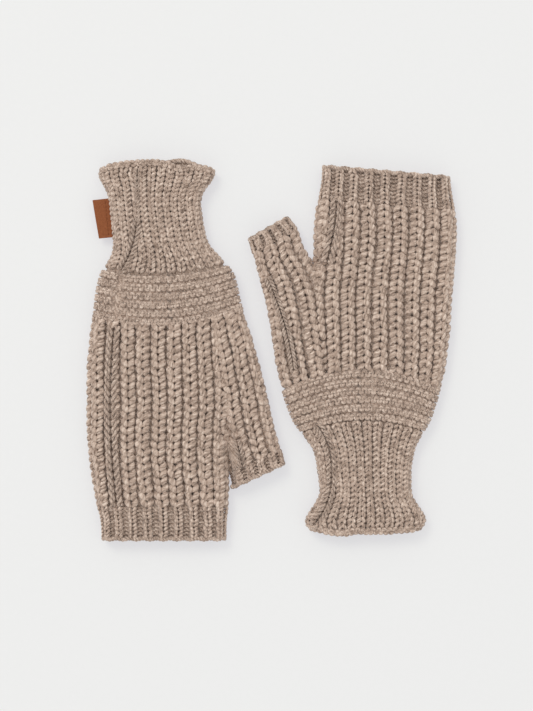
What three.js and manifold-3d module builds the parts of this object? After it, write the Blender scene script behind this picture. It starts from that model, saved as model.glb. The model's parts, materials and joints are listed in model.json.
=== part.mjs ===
// A pair of fingerless gloves in chunky wool, lying flat side by side.
// Millimetres. +Y is up the page, +Z is up from the surface the gloves lie on, and the origin is
// the middle of the pair, on that surface. The left glove points its fingers down the page and the
// right glove points them up.
//
// Each glove is drawn in a frame of its own: u runs across the hand with the thumb on the -u side,
// v runs along the hand from the open end of the cuff to the fingers, and z is up.
import * as THREE from 'three';
import Module from 'manifold-3d';
import { mergeVertices } from 'three/addons/utils/BufferGeometryUtils.js';

const wasm = await Module();
wasm.setup();

// Fabric
const FABRIC = 3.2;            // thickness of the knitted fabric
const LOFT = 12;               // height of a glove lying flat: two fabrics and the hollow between
const GAP = 0.3;               // clearance between neighbouring pieces

// Zones along the hand, measured on its middle line from the end of the cuff
const CUFF_EDGE_END = 14;      // the flared, loosely rolled end of the cuff
const WRIST = 71;              // the cuff meets the garter band
const BAND_END = 103;          // the garter band meets the ribbed hand
const BAND_BOW = 5;            // both of those lines bow this far towards the fingers
const BAND_HALF = 50;          // half of the width over which they bow
const WELT_DEPTH = 21;         // ribbed welt round the fingers
const THUMB_WELT_DEPTH = 8;    // ribbed welt round the thumb

// Thumb joint: the thumb's base is a round end that turns in a round socket in the hand
const SOCKET_LIP = 9;          // the socket stops this far short of the joint's centre
const SIDE_SLACK = 0.5;        // the round end is this much wider than the thumb is there

// Seams and label
const SEAM_WIDTH = 2.6;
const SEAM_PROUD = 0.7;        // a seam stands this far above the fabric
const SEAM_DEPTH = 0.9;        // and is sunk this far into it
const LABEL = { length: 24, width: 9.6, thick: 1.2, lean: THREE.MathUtils.degToRad(6) };
const THREAD = 0.6;

const SIDE_SEGMENTS = 5;       // facets round each side edge of a glove
const FACE_SEGMENTS = 4;       // facets across each flat face
const REACH = 200;             // longer than a glove is wide

// outline: [v, u of the thumb side, u of the far side] along the cuff and the hand.
// thumb: pairs of [outer u, v] and [inner u, v], from inside the hand to the tip.
// joint: where the thumb turns, and the half width of the thumb there.
const gloves = {
  left: {
    turn: Math.PI,
    place: [-69.4, 117.5],
    length: 237,
    slope: 0,
    outline: [
      [0, -32.5, 33], [8, -33.5, 36.5], [20, -28, 31.6], [42, -28, 29.2], [54, -31.2, 28],
      [62, -39.5, 30], [72, -46.5, 36], [86, -50.2, 39.4], [103, -55.5, 42], [128, -50, 45],
      [165, -43.5, 45], [190, -43.8, 43.2], [204, -44.2, 41], [216, -43.5, 38.4],
      [223, -42.3, 36], [237, -41.8, 35],
    ],
    thumb: [
      [[-46, 84], [-20, 84]], [[-56.5, 104], [-28, 104]], [[-66, 138], [-38, 144]],
      [[-71, 161], [-44.6, 167]], [[-78.4, 188.5], [-48, 202.7]],
    ],
    joint: { at: [-58.8, 172.5], half: 14.6 },
    sideSeam: [[31.5, 108], [32.5, 130], [33.5, 165], [32, 192], [29.5, 212]],
    thumbSeam: [[-49.5, 177], [-52, 190]],
    cuffSeam: [[19.5, 20], [18.6, 40], [18.4, 61]],
  },
  right: {
    turn: 0,
    place: [58.6, -116.3],
    length: 227.5,
    slope: -0.086,
    outline: [
      [0, -31, 32], [7, -36.3, 35.8], [14, -32.5, 34], [25, -28.7, 29.3], [42, -29.2, 29.4],
      [54, -31.6, 31.6], [62, -38, 35.8], [72, -44, 40.8], [86, -50, 44.6], [103, -54.8, 49],
      [128, -45, 52.2], [150, -36, 53.6], [168, -31.2, 55], [187, -31.6, 56.4],
      [202, -30.4, 55.4], [211, -28.4, 53], [219, -26.2, 52], [227.5, -25.5, 51],
    ],
    thumb: [
      [[-47, 84], [-20, 84]], [[-55.4, 104], [-22, 110]], [[-59, 131], [-26, 140]],
      [[-64, 155], [-31.4, 168]], [[-72.5, 185.4], [-49.6, 198.4]],
    ],
    joint: { at: [-51.6, 171.6], half: 15.6 },
    sideSeam: [[-26.5, 174], [-22.5, 186], [-20, 196], [-18.6, 206]],
    thumbSeam: [[-44.5, 104], [-46.5, 118], [-50.5, 134], [-55.5, 148]],
    cuffSeam: [[-20, 20], [-19, 40], [-19.4, 61]],
  },
};

const wool = new THREE.MeshStandardMaterial({ color: 0xa99282, roughness: 0.95, metalness: 0 });
const seamWool = new THREE.MeshStandardMaterial({ color: 0x99806e, roughness: 0.95, metalness: 0 });
const leather = new THREE.MeshStandardMaterial({ color: 0x8a4d2c, roughness: 0.6, metalness: 0 });
const thread = new THREE.MeshStandardMaterial({ color: 0x6b4630, roughness: 0.8, metalness: 0 });

// A closed three.js geometry as a solid that can be cut and joined.
function solidOf(geometry) {
  const bare = geometry.clone();
  bare.deleteAttribute('normal');
  bare.deleteAttribute('uv');
  const merged = mergeVertices(bare, 1e-4);
  return new wasm.Manifold(new wasm.Mesh({
    numProp: 3,
    vertProperties: new Float32Array(merged.attributes.position.array),
    triVerts: new Uint32Array(merged.index.array),
  }));
}

// The solid as a geometry again, with flat facets.
function geometryOf(solid) {
  const mesh = solid.getMesh();
  const geometry = new THREE.BufferGeometry();
  geometry.setAttribute('position', new THREE.BufferAttribute(mesh.vertProperties, 3));
  geometry.setIndex(new THREE.BufferAttribute(mesh.triVerts, 1));
  const flat = geometry.toNonIndexed();
  flat.computeVertexNormals();
  return flat;
}

// One ring of a flattened tube: straight top and bottom joined by half-round sides. The ring spans
// from point a to point b in plan, and the inset moves it in from the fabric's outer face.
function flatRing(a, b, inset) {
  const from = new THREE.Vector2(...a);
  const to = new THREE.Vector2(...b);
  const across = to.clone().sub(from).normalize();
  const radius = LOFT / 2 - inset;
  const middle = from.clone().add(to).multiplyScalar(0.5);
  const straight = from.distanceTo(to) / 2 - LOFT / 2;
  const ring = [];
  const push = (offset, z) => {
    const plan = middle.clone().addScaledVector(across, offset);
    ring.push(new THREE.Vector3(plan.x, plan.y, z));
  };
  for (const side of [1, -1]) {
    for (let i = 0; i <= SIDE_SEGMENTS; i++) {
      const angle = Math.PI * (i / SIDE_SEGMENTS - 0.5);
      push(side * (straight + radius * Math.cos(angle)), LOFT / 2 + side * radius * Math.sin(angle));
    }
    for (let i = 1; i < FACE_SEGMENTS; i++) {
      const offset = side * straight * (1 - 2 * i / FACE_SEGMENTS);
      push(offset, LOFT / 2 + side * radius);
    }
  }
  return ring;
}

// A solid skinned over rings with equal point counts, closed by a fan at each end.
function loft(rings) {
  const count = rings[0].length;
  const points = rings.flat();
  const faces = [];
  for (let r = 0; r + 1 < rings.length; r++) {
    for (let i = 0; i < count; i++) {
      const a = r * count + i;
      const b = r * count + (i + 1) % count;
      faces.push(a, a + count, b, b, a + count, b + count);
    }
  }
  for (const [ring, turn] of [[0, 1], [rings.length - 1, -1]]) {
    const centre = new THREE.Vector3();
    rings[ring].forEach((point) => centre.addScaledVector(point, 1 / count));
    points.push(centre);
    for (let i = 0; i < count; i++) {
      const a = ring * count + i;
      const b = ring * count + (i + 1) % count;
      faces.push(points.length - 1, turn > 0 ? a : b, turn > 0 ? b : a);
    }
  }
  const geometry = new THREE.BufferGeometry().setFromPoints(points);
  geometry.setIndex(faces);
  return solidOf(geometry);
}

// A flat plan shape raised through the whole height of a glove and past it.
function prism(points) {
  const shape = new THREE.Shape(points.map(([u, v]) => new THREE.Vector2(u, v)));
  const raised = new THREE.ExtrudeGeometry(shape, { depth: 3 * LOFT, bevelEnabled: false });
  return solidOf(raised.translate(0, 0, -LOFT));
}

function disc(at, radius) {
  const round = new THREE.CylinderGeometry(radius, radius, 3 * LOFT, 48);
  return solidOf(round.rotateX(Math.PI / 2).translate(at[0], at[1], LOFT / 2));
}

// The half plane that starts at a point and runs in a direction.
function beyond(at, direction) {
  const ahead = direction.clone().multiplyScalar(REACH);
  const side = new THREE.Vector2(-ahead.y, ahead.x);
  const corner = (s, a) => [at[0] + s * side.x + a * ahead.x, at[1] + s * side.y + a * ahead.y];
  return prism([corner(1, 0), corner(1, 1), corner(-1, 1), corner(-1, 0)]);
}

// A line across the glove at v, bowed towards the fingers in the middle and sloping with u.
function crossLine(v, bow, slope) {
  const line = [];
  const steps = 12;
  for (let i = 0; i <= steps; i++) {
    const u = BAND_HALF * 2 * (i / steps - 0.5);
    line.push([u, v + slope * u - bow * (u / BAND_HALF) ** 2]);
  }
  const [firstU, firstV] = line[0];
  const [lastU, lastV] = line[steps];
  return [[firstU - REACH, firstV - slope * REACH], ...line, [lastU + REACH, lastV + slope * REACH]];
}

// The part of the plane between two cross lines.
function zone(low, high) {
  return prism([...low, ...high.reverse()]);
}

// A solid bar that follows a line over the top of the fabric.
function seamBar(points, width, low, high) {
  const line = new THREE.CatmullRomCurve3(points.map(([u, v]) => new THREE.Vector3(u, v, 0)));
  const steps = 4 * (points.length - 1);
  const left = [];
  const right = [];
  for (let i = 0; i <= steps; i++) {
    const at = line.getPoint(i / steps);
    const along = line.getTangent(i / steps);
    left.push([at.x - along.y * width / 2, at.y + along.x * width / 2]);
    right.push([at.x + along.y * width / 2, at.y - along.x * width / 2]);
  }
  const shape = new THREE.Shape([...left, ...right.reverse()].map(([u, v]) => new THREE.Vector2(u, v)));
  const bar = new THREE.ExtrudeGeometry(shape, { depth: high - low, bevelEnabled: false });
  return solidOf(bar.translate(0, 0, low));
}

const seamSolid = (points) => seamBar(points, SEAM_WIDTH, LOFT - SEAM_DEPTH, LOFT + SEAM_PROUD);

function seamGroove(points) {
  const ends = points.map(([u, v]) => new THREE.Vector2(u, v));
  const first = ends[0].clone().add(ends[0].clone().sub(ends[1]).setLength(GAP));
  const last = ends.at(-1).clone().add(ends.at(-1).clone().sub(ends.at(-2)).setLength(GAP));
  const longer = [first.toArray(), ...points.slice(1, -1), last.toArray()];
  return seamBar(longer, SEAM_WIDTH + 2 * GAP, LOFT - SEAM_DEPTH - GAP, 2 * LOFT);
}

// The glove's outer form and the hollow inside it. The hollow runs out of every open end.
function handForm(glove, inset) {
  const rings = glove.outline.map(([v, thumbSide, farSide]) => (
    flatRing([thumbSide, v], [farSide, v], inset)
  ));
  if (inset > 0) {
    const run = (ring, by) => ring.map((point) => point.clone().add(new THREE.Vector3(0, by, 0)));
    rings.unshift(run(rings[0], -LOFT));
    rings.push(run(rings.at(-1), LOFT));
  }
  return loft(rings);
}

function thumbForm(glove, inset) {
  const rings = glove.thumb.map(([outer, inner]) => flatRing(outer, inner, inset));
  if (inset > 0) {
    const ahead = thumbAxis(glove).multiplyScalar(LOFT);
    rings.push(rings.at(-1).map((point) => point.clone().add(new THREE.Vector3(ahead.x, ahead.y, 0))));
  }
  return loft(rings);
}

// The direction square to the thumb's open end, pointing out of it.
function thumbAxis(glove) {
  const [outer, inner] = glove.thumb.at(-1).map((point) => new THREE.Vector2(...point));
  const across = inner.sub(outer).normalize();
  return new THREE.Vector2(-across.y, across.x);
}

function thumbTip(glove) {
  const [outer, inner] = glove.thumb.at(-1);
  return [(outer[0] + inner[0]) / 2, (outer[1] + inner[1]) / 2];
}

const stepFrom = (at, direction, by) => [at[0] + direction.x * by, at[1] + direction.y * by];

// The knitted pieces of one glove, cut from one continuous fabric.
function knittedPieces(glove) {
  const { joint, slope, length } = glove;
  const ahead = thumbAxis(glove);
  const radius = joint.half + SIDE_SLACK;
  const openThumb = disc(joint.at, radius + GAP)
    .add(beyond(stepFrom(joint.at, ahead, -SOCKET_LIP), ahead));
  const hand = handForm(glove, 0).add(thumbForm(glove, 0).subtract(openThumb));
  const hollow = handForm(glove, FABRIC).add(thumbForm(glove, FABRIC));
  const fabric = hand.subtract(hollow);

  const thumb = thumbForm(glove, 0)
    .intersect(disc(joint.at, radius).add(beyond(joint.at, ahead)))
    .subtract(thumbForm(glove, FABRIC));
  const weltLine = stepFrom(thumbTip(glove), ahead, -THUMB_WELT_DEPTH);

  const start = crossLine(-LOFT, 0, 0);
  const edge = crossLine(CUFF_EDGE_END, 0, 0);
  const edgeBack = crossLine(CUFF_EDGE_END + GAP, 0, 0);
  const wrist = crossLine(WRIST, BAND_BOW, 0);
  const wristBack = crossLine(WRIST + GAP, BAND_BOW, 0);
  const band = crossLine(BAND_END, BAND_BOW, 0);
  const bandBack = crossLine(BAND_END + GAP, BAND_BOW, 0);
  const welt = crossLine(length - WELT_DEPTH, 0, slope);
  const weltBack = crossLine(length - WELT_DEPTH + GAP, 0, slope);
  const end = crossLine(length, 0, slope);

  return {
    cuff_edge: fabric.intersect(zone(start, edge)),
    cuff_rib: fabric.intersect(zone(edgeBack, wrist)).subtract(seamGroove(glove.cuffSeam)),
    garter_band: fabric.intersect(zone(wristBack, band)),
    hand: fabric.intersect(zone(bandBack, welt)).subtract(seamGroove(glove.sideSeam)),
    finger_welt: fabric.intersect(zone(weltBack, end)),
    thumb: thumb.subtract(beyond(weltLine, ahead)),
    thumb_welt: thumb.intersect(beyond(stepFrom(weltLine, ahead, GAP), ahead)),
  };
}

// The leather label: a folded tag sewn into the far side of the left cuff, and its thread.
function labelPieces() {
  const { length, width, thick, lean } = LABEL;
  const tag = new THREE.BoxGeometry(width, length, thick);
  const stitches = new THREE.BoxGeometry(THREAD, length - 4, THREAD);
  stitches.translate(2 - width / 2, 0, thick / 2 + THREAD / 2 + GAP);
  return [tag, stitches].map((geometry) => (
    solidOf(geometry.rotateZ(lean).translate(35.9, 36.6, LOFT / 2))
  ));
}

function addPiece(group, name, solid, material) {
  const mesh = new THREE.Mesh(geometryOf(solid), material);
  mesh.name = name;
  group.add(mesh);
}

function makeGlove(side, glove) {
  const group = new THREE.Group();
  const pieces = knittedPieces(glove);
  const grooved = side === 'left' ? 'thumb' : 'hand';
  pieces[grooved] = pieces[grooved].subtract(seamGroove(glove.thumbSeam));
  for (const [name, solid] of Object.entries(pieces)) {
    addPiece(group, `${side}_${name}`, solid, wool);
  }
  addPiece(group, `${side}_side_seam`, seamSolid(glove.sideSeam), seamWool);
  addPiece(group, `${side}_thumb_seam`, seamSolid(glove.thumbSeam), seamWool);
  addPiece(group, `${side}_cuff_seam`, seamSolid(glove.cuffSeam), seamWool);
  if (side === 'left') {
    const [tag, stitches] = labelPieces();
    addPiece(group, 'left_label', tag, leather);
    addPiece(group, 'left_label_stitches', stitches, thread);
  }
  group.rotation.z = glove.turn;
  group.position.set(...glove.place, 0);
  return group;
}

const pair = new THREE.Group();
for (const [side, glove] of Object.entries(gloves)) {
  pair.add(makeGlove(side, glove));
}

// Put the origin under the middle of the pair.
pair.updateMatrixWorld(true);
const box = new THREE.Box3().setFromObject(pair, true);
const centre = box.getCenter(new THREE.Vector3());
pair.position.set(-centre.x, -centre.y, -box.min.z);

export default pair;
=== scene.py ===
import json
import math

import bpy
import numpy as np
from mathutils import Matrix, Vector
from mathutils.bvhtree import BVHTree


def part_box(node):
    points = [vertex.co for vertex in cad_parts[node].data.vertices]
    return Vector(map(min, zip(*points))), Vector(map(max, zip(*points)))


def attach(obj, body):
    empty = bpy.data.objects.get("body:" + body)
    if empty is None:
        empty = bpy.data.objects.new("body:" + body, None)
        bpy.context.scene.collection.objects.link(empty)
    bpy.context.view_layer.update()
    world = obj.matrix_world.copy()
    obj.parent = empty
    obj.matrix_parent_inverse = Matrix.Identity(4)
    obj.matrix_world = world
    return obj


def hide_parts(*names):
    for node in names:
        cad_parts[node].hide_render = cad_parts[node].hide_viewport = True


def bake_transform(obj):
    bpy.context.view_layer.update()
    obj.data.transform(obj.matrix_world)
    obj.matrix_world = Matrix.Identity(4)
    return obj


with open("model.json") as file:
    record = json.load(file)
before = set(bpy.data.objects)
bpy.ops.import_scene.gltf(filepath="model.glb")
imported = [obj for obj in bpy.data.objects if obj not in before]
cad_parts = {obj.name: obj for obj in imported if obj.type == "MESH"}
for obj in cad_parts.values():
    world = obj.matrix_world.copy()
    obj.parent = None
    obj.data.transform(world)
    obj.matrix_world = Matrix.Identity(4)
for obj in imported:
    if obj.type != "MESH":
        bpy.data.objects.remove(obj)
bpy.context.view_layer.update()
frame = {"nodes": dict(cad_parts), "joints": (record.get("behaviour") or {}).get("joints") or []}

MM = 0.001
TAU = 2 * math.pi

# Whole gloves
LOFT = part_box("left_hand")[1].z / MM          # height of a glove lying flat
ROUND = LOFT / 2                              # radius of a glove's side edges
FULLNESS = 0.8                                # the yarn stands this far outside the CAD walls
BACK_SHOWS = {"left": 0.0, "right": 1.7}      # the back of the hand shows past the far edge
HAND_BLEND = 20.0                             # and does so in full this far past the cuff
SLANT_FROM, SLANT_LENGTH = 150.0, 50.0        # the rows turn to the slant of the finger end
END_WALL = 6.0                                # the side walls are measured up to here from the end
MIDDLE_HALF = 9.0                             # half the strip that counts as the glove's middle
TUBE_OVERLAP = 30.0                           # the cuff's tube goes on this far under the hand's
REACH = 120.0                                 # longer than a glove is wide
CUFF_EDGE = 14.0                              # length of the cuff's edge piece
THUMB_WELT = 8.0                              # length of the welt round the thumb

# Where the thumb leaves the hand: the palm's columns and the gusset's meet at a leaning line
CROTCH_BELOW_JOINT = 5.0
CROTCH_ROUND = 14.0                           # the hand's own edge shows from this far above it
BORDER_LEAN = 0.12
BORDER_BLEND = 44.0
GUSSET_FROM = 14.0                            # the gusset starts this far inside the band
OUTER_GAP = 14.0                              # its outer edge runs straight over this gap to the thumb
THUMB_FROM, THUMB_BLEND = 24.0, 22.0          # the gusset narrows to a tube from this far below it
# The thumb is fuller towards the palm than the CAD's: at its base, partway along, at its tip
THUMB_EXTRA = {"left": (7.0, 5.6, 3.6), "right": (-0.4, 3.8, 1.4)}
THUMB_FULLEST = 0.38
THUMB_TRIM = {"left": 0.2, "right": 2.4}      # the knitting stops this far inside the CAD thumb

# Lines across the glove bow towards the fingers round the garter band: by this much, over this
# half width. The bow fades out over this length of the hand.
BAND_BOW = {"left": 9.0, "right": 13.0}
BOW_HALF = 50.0
BOW_FADE = 60.0
BAND_SHIFT = {"left": 1.4, "right": 0.0}      # of the band's ridges, towards the fingers
BAND_BULGE = 1.4                              # the band stands out over the cuff at the sides
BULGE_BEFORE, BULGE_RISE, BULGE_LENGTH = 7.0, 4.0, 34.0

# The rim of the cuff is lower at its corners and flares there: thumb side, far side
RIM_BOW = {"left": 5.0, "right": 2.0}
RIM_HALF = 34.0
RIM_FADE = 24.0
RIM_FLARE = {"left": (2.8, 2.2), "right": (2.2, 3.8)}
FLARE_AT, FLARE_HALF = 8.0, 17.0
CORNER_ROUND, CORNER_LENGTH = 2.6, 7.0
MOUTH_DIP = {"left": 3.6, "right": -1.5}      # how far the front of the rim sags
MOUTH_RISE = {"left": 2.2, "right": 1.5}      # how far the back of the rim shows past it
MOUTH_U, MOUTH_HALF = -16.0, 8.0
WRIST_NIP = {"left": 1.8, "right": 1.4}       # the thumb side of the cuff curves in by this much
NIP_AT, NIP_HALF = 27.0, 9.0

# The cuff's seam runs straight along the wrist and bends to the side beyond it: its shift from
# the CAD seam, where it bends from, the length of a bend, and the bends before and after
CUFF_SEAM = {"left": (-5.7, 30.0, 45.0, 0.0, 14.0), "right": (-1.2, 39.0, 24.0, 5.2, 5.2)}
CUFF_SEAM_FINE = {"left": 0.34, "right": 0.0}               # thinner by this much at the rim
FINE_FROM, FINE_LENGTH = 46.0, 14.0
SIDE_SEAM = {"left": (-3.7, -3.7), "right": (4.2, 0.8)}     # moved from the CAD seam: start, end
SIDE_SEAM_LONGER = (4.0, 4.0)                               # than the CAD seam: before, after
THUMB_SEAM_LONGER = {"left": (2.0, 2.0), "right": (2.0, 12.0)}

# Grooves, where the stitches are pushed in: depth, and reach to each side
CUFF_GROOVE = (1.7, 4.2)
GROOVE_FADE = 3.6                             # the cuff's groove is shallower where its seam is fine
JOIN_GROOVE = (1.3, 1.4)                      # round the glove, between the cuff and the band
BAND_GROOVE = {"left": (1.6, 3.5), "right": (0.0, 3.5)}
SIDE_GROOVE = (2.3, 5.6)
WELT_GROOVE = (1.0, 2.5)
WELT_GROOVE_RUN = (1.5, 24.0)                 # how the side seam's groove goes on through the welt
THUMB_GROOVE = (1.9, 4.2)
THUMB_FOLD = {"left": (6.6, 6.5), "right": (0.0, 6.5)}      # the left thumb turns down at the palm
CROTCH_PIT = (7.0, 3.8)
PIT_OFFSET = (1.5, 3.0)                       # of the pit from the crotch
SUNK_LOWEST = 2.8                             # a sunk stitch stays this far above the floor

# Lengths from the line where the cuff folds, and each way from the thumb's joint where it swings
FOLD_LENGTH = 20.0
SWING_HALF = 10.0

SEED = {"left": 100, "right": 500}


def smooth(values, reach):
    """A list of numbers or points, smoothed over reach samples each way, with its ends kept."""
    values = np.asarray(values, float)
    flat = values.reshape(len(values), -1)
    head = 2 * flat[0] - flat[reach:0:-1]
    tail = 2 * flat[-1] - flat[-2:-reach - 2:-1]
    padded = np.vstack([head, flat, tail])
    kernel = np.exp(-0.5 * (np.arange(-reach, reach + 1) / (reach / 2)) ** 2)
    kernel /= kernel.sum()
    out = np.stack([np.convolve(column, kernel, "valid") for column in padded.T], 1)
    return out.reshape(values.shape)


def ease(t):
    """0 below 0, 1 above 1, and a smooth rise between."""
    t = np.clip(t, 0, 1)
    return t * t * (3 - 2 * t)


class Glove:
    """One glove's frame and the places of its CAD walls."""

    def __init__(self, side):
        self.side = side
        self.turn = 1 if side == "right" else -1
        low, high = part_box(f"{side}_cuff_edge")
        self.x0 = (low.x + high.x) / 2
        self.y0 = low.y if side == "right" else high.y
        self.body = self.tree("cuff_edge", "cuff_rib", "garter_band", "hand", "finger_welt")
        self.thumb = self.tree("thumb", "thumb_welt")
        joint = next(j for j in frame["joints"] if j["name"] == f"{side}_thumb_swing")
        self.joint = self.local(joint["pos_m"])
        self.crotch = self.joint[1] - CROTCH_BELOW_JOINT
        self.band_start, self.band_end = self.ends("garter_band")
        rim = self.end_face("finger_welt")
        self.slope = -rim[0] / rim[1]
        self.welt_start, self.length = self.ends("finger_welt", self.slope)
        self.thumb_ahead = self.end_face("thumb_welt")

    def node(self, name):
        return frame["nodes"][f"{self.side}_{name}"]

    def tree(self, *names):
        """The CAD walls of some pieces, for casting rays at."""
        points, faces = [], []
        for name in names:
            start = len(points)
            points += [v.co.copy() for v in self.node(name).data.vertices]
            faces += [[start + i for i in p.vertices] for p in self.node(name).data.polygons]
        return BVHTree.FromPolygons(points, faces)

    def world(self, points):
        """Local millimetres (..., 3) to metres in the row frame."""
        points = np.asarray(points, float)
        out = points * MM
        out[..., 0] = self.x0 + self.turn * out[..., 0]
        out[..., 1] = self.y0 + self.turn * out[..., 1]
        return out

    def local(self, place):
        """The plan place in local millimetres of a place in metres."""
        return self.turn * np.array([place[0] - self.x0, place[1] - self.y0]) / MM

    def ends(self, name, slope=None):
        """Where a piece starts and ends on the glove's middle line. slope is that of its ends."""
        spots = [self.local(v.co) for v in self.node(name).data.vertices]
        if slope is None:
            near = [v for u, v in spots if abs(u) < MIDDLE_HALF]
        else:
            near = [v - slope * u for u, v in spots]
        return min(near), max(near)

    def end_face(self, name):
        """The way out of a piece's open end, from the widest upright face there."""
        areas = {}
        middle = np.mean([self.local(v.co) for v in self.node(name).data.vertices], axis=0)
        for polygon in self.node(name).data.polygons:
            way = self.turn * np.array(polygon.normal[:2])
            outward = way @ (self.local(polygon.center) - middle) > 0
            if outward and abs(polygon.normal.z) < 0.01 and way[1] > 0.5:
                key = tuple(np.round(way, 3))
                areas[key] = areas.get(key, 0) + polygon.area
        return np.array(max(areas, key=areas.get))

    def border(self, v):
        """The line between the palm's columns and the gusset's, as u at v."""
        return self.crotch_edge + BORDER_LEAN * np.clip(self.crotch - v, 0, None)

    def outer(self, tree, spot, way):
        """Distance in plan from a spot to a tree's outermost wall that way, or None."""
        origin = self.world([*(np.asarray(spot) + np.asarray(way) * REACH), ROUND])
        back = -self.turn * np.array([way[0], way[1], 0])
        hit, _, _, distance = tree.ray_cast(Vector(origin), Vector(back), REACH * MM * 1.4)
        return None if hit is None else REACH - distance / MM


def filled(stations, values):
    """The values with the missing ones interpolated."""
    known = [(s, d) for s, d in zip(stations, values) if d is not None]
    return np.interp(stations, [s for s, _ in known], [d for _, d in known])


class Tube:
    """A flattened knitted tube. Its rings run in plan from the thumb's side to the far side."""

    column_width = None

    def __init__(self, glove, left, right, stations=None):
        if stations is not None:
            left = np.stack([smooth(left, 6), stations], 1)
            right = np.stack([smooth(right, 6), stations], 1)
        middle = (left + right) / 2
        steps = np.linalg.norm(np.diff(middle, axis=0), axis=1)
        gone = np.concatenate([[0], np.cumsum(steps)])
        self.glove = glove
        self.bowed = stations is not None
        self.at = stations if self.bowed else gone
        self.middle = middle
        self.half = np.linalg.norm(right - left, axis=1) / 2
        self.across = (right - left) / (2 * self.half[:, None])
        self.end = self.at[-1]

    def place(self, turn, along, lift):
        """Points and normals. turn is the way round the tube, 0 and 1 at the middle of the top."""
        turn, along, lift = np.broadcast_arrays(turn, along, lift)
        shifted = along
        for _ in range(3 if self.bowed else 1):
            spot, across, angle = self.plan(turn, shifted)
            if self.bowed:
                shifted = along - self.droop(spot[..., 0], along, np.cos(angle) > 0)
        normal = np.concatenate([across * np.sin(angle)[..., None], np.cos(angle)[..., None]], -1)
        resting = FULLNESS * (1 - np.cos(angle)) / 2          # the underside stays on the floor
        height = ROUND + np.cos(angle) * ROUND + resting
        points = np.concatenate([spot, height[..., None]], -1)
        return points + normal * (lift + FULLNESS)[..., None], normal

    def plan(self, turn, along):
        """Places in plan, the way across there, and the angle from straight up."""
        inside = np.clip(along, self.at[0], self.end)
        middle = np.stack([np.interp(inside, self.at, c) for c in self.middle.T], -1)
        across = np.stack([np.interp(inside, self.at, c) for c in self.across.T], -1)
        half = np.interp(inside, self.at, self.half)
        ahead = np.stack([-across[..., 1], across[..., 0]], -1)
        middle = middle + ahead * (along - inside)[..., None]
        straight = half - ROUND
        girth = 4 * straight + TAU * ROUND
        walk = (turn % 1.0) * girth
        curve = math.pi * ROUND
        far = np.clip((walk - straight) / ROUND, 0, math.pi)
        near = np.clip((walk - 3 * straight - curve) / ROUND, 0, math.pi)
        angle = far + near
        offset = np.clip(walk, 0, straight)
        offset = offset - np.clip(walk - straight - curve, 0, 2 * straight)
        offset = offset + np.clip(walk - 3 * straight - 2 * curve, 0, straight)
        return middle + across * (offset + np.sin(angle) * ROUND)[..., None], across, angle

    def droop(self, u, along, top=True):
        """How far a line round the tube lies back from its place on the middle line."""
        glove = self.glove
        fade = ease(1 - (along - glove.band_end) / BOW_FADE) * ease(along / glove.band_start)
        rim = RIM_BOW[glove.side] * np.abs(u / RIM_HALF) ** 3
        sag = np.where(top, MOUTH_DIP[glove.side], -MOUTH_RISE[glove.side])
        rim = rim + sag * np.exp(-((u - MOUTH_U) / MOUTH_HALF) ** 2)
        rim = rim * ease(1 - along / RIM_FADE)
        slope = glove.slope * u * ease((along - SLANT_FROM) / SLANT_LENGTH)
        return BAND_BOW[glove.side] * fade * (u / BOW_HALF) ** 2 - rim - slope

    def spread(self, turn, along, columns):
        """Turns moved so the columns keep one width on the faces and crowd at the side edges."""
        if self.column_width is None:
            return turn
        girth = 4 * (np.interp(along, self.at, self.half) - ROUND) + TAU * ROUND
        wider = np.clip(self.column_width * columns / girth, 0.9, 1.25)
        face = np.round(turn * 2) / 2
        off = turn - face
        return face + wider * off - (wider - 1) * 16 * off ** 3

    def locate(self, spots):
        """The way round and the distance along the tube of plan spots on its upper half."""
        ahead = np.stack([-self.across[:, 1], self.across[:, 0]], 1)
        offsets = spots[:, None, :] - self.middle[None]
        past = (offsets * ahead).sum(2)
        ring = np.abs(past).argmin(1)
        pick = np.arange(len(spots))
        along = self.at[ring] + past[pick, ring]
        off = (offsets[pick, ring] * self.across[ring]).sum(1)
        straight = self.half[ring] - ROUND
        round_edge = np.arcsin(np.clip((np.abs(off) - straight) / ROUND, 0, 1)) * ROUND
        walk = np.minimum(np.abs(off), straight) + round_edge
        if self.bowed:
            along = along + self.droop(spots[:, 0], along)
        return np.sign(off) * walk / (4 * straight + TAU * ROUND), along


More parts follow.
